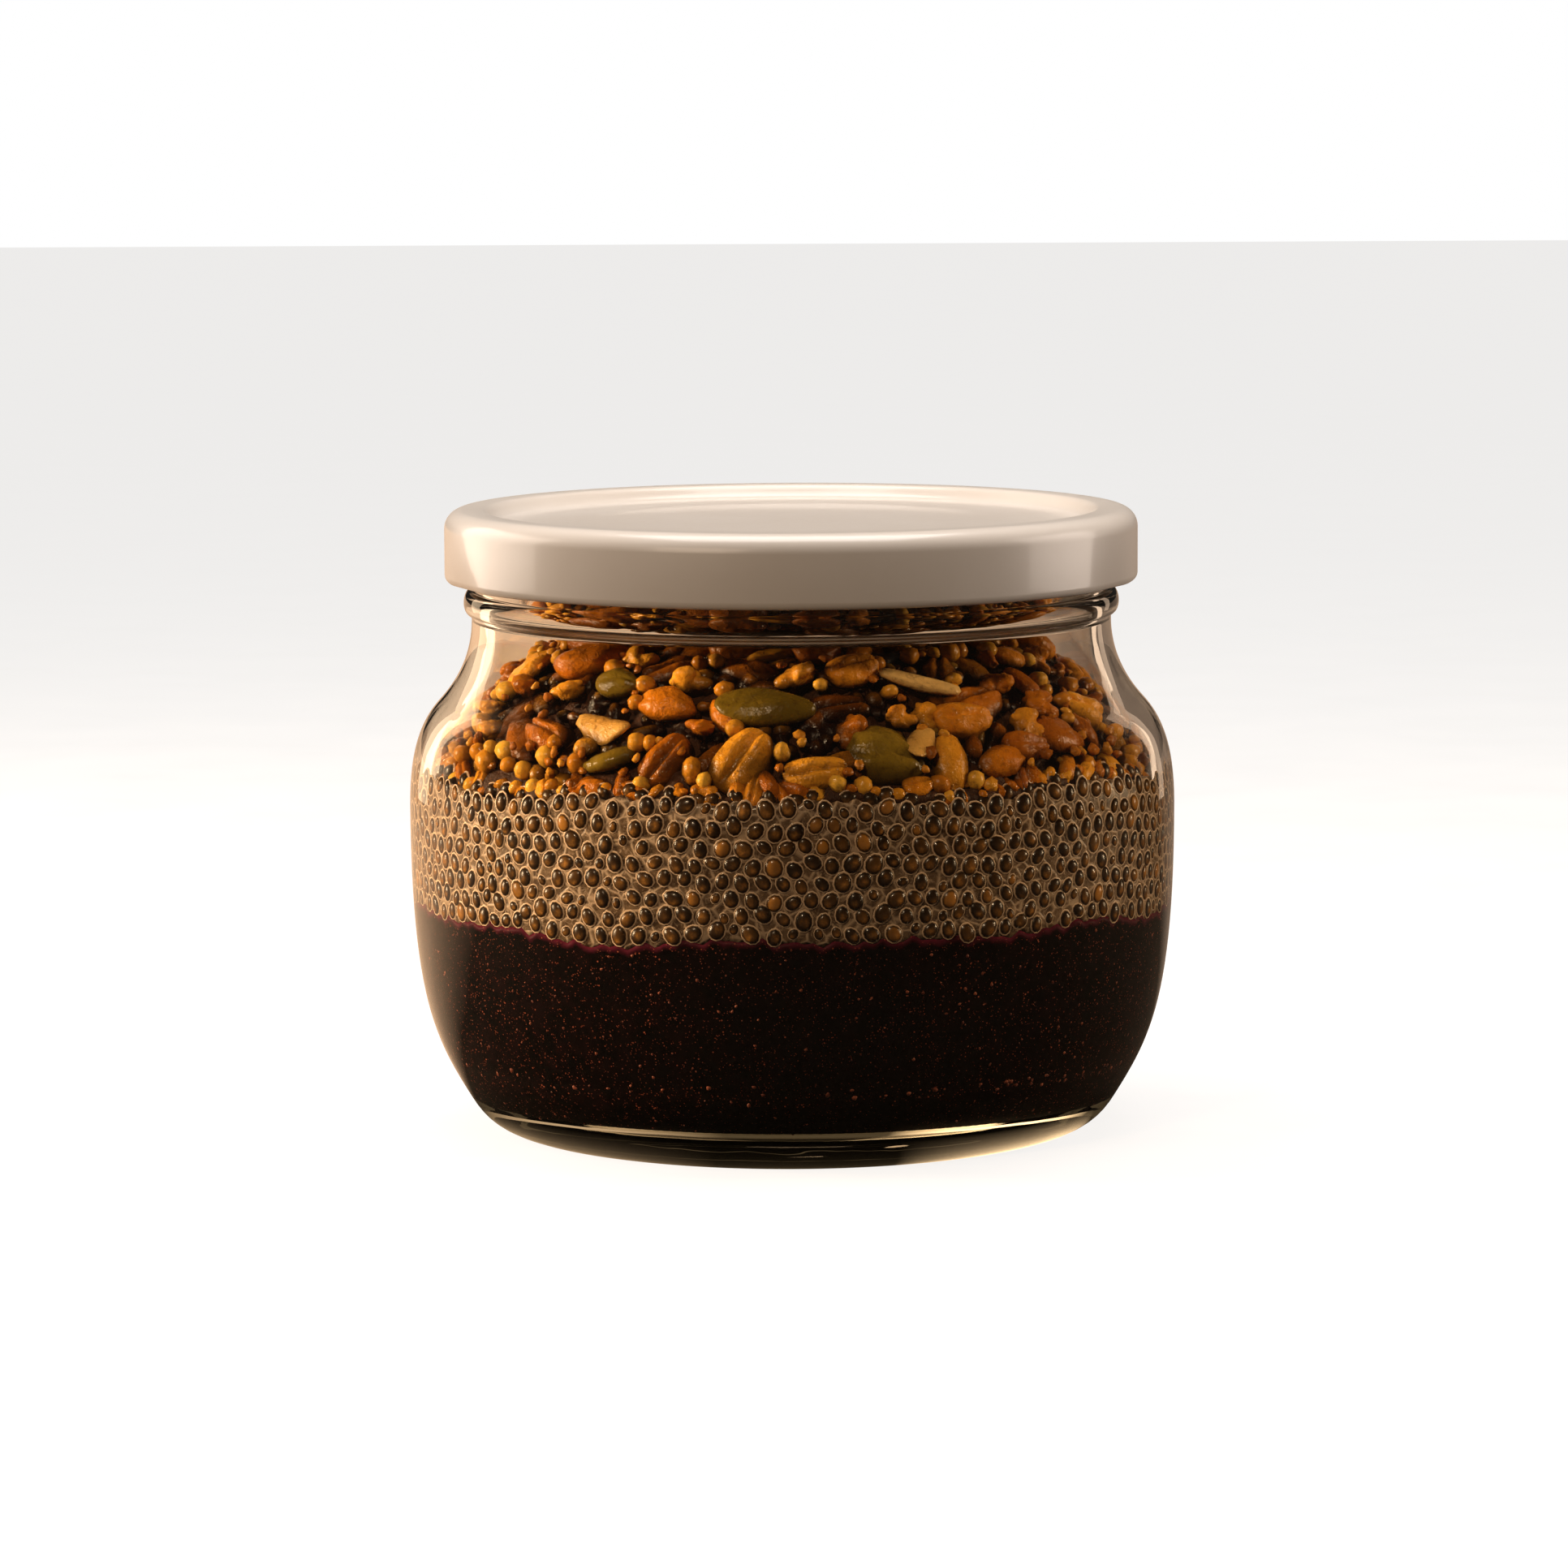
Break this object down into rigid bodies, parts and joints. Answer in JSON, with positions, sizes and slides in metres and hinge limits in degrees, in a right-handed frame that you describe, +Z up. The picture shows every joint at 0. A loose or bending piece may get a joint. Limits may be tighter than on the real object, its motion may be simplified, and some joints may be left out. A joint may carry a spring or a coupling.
{
  "type": "chia pudding in a lidded glass jar",
  "caption": "Shut glass jar with a pressed metal lid, filled with a fruit layer, chia pudding and a domed granola heap; stands on its foot.",
  "frame": {"origin": "under the middle of the jar's foot, on the surface that it stands on", "axes": "+Z up along the jar's axis, -Y towards the viewer of the picture"},
  "size_m": [0.094, 0.094, 0.0762],
  "materials": {
    "glass": "polished",
    "lid_enamel": "gloss",
    "fruit": "wet",
    "chia": "wet",
    "granola": "glazed"
  },
  "bodies": {
    "root": {"jar": "glass", "lid": "lid_enamel", "fruit_layer": "fruit", "chia_layer": "chia", "granola": "granola"}
  },
  "joints": []
}
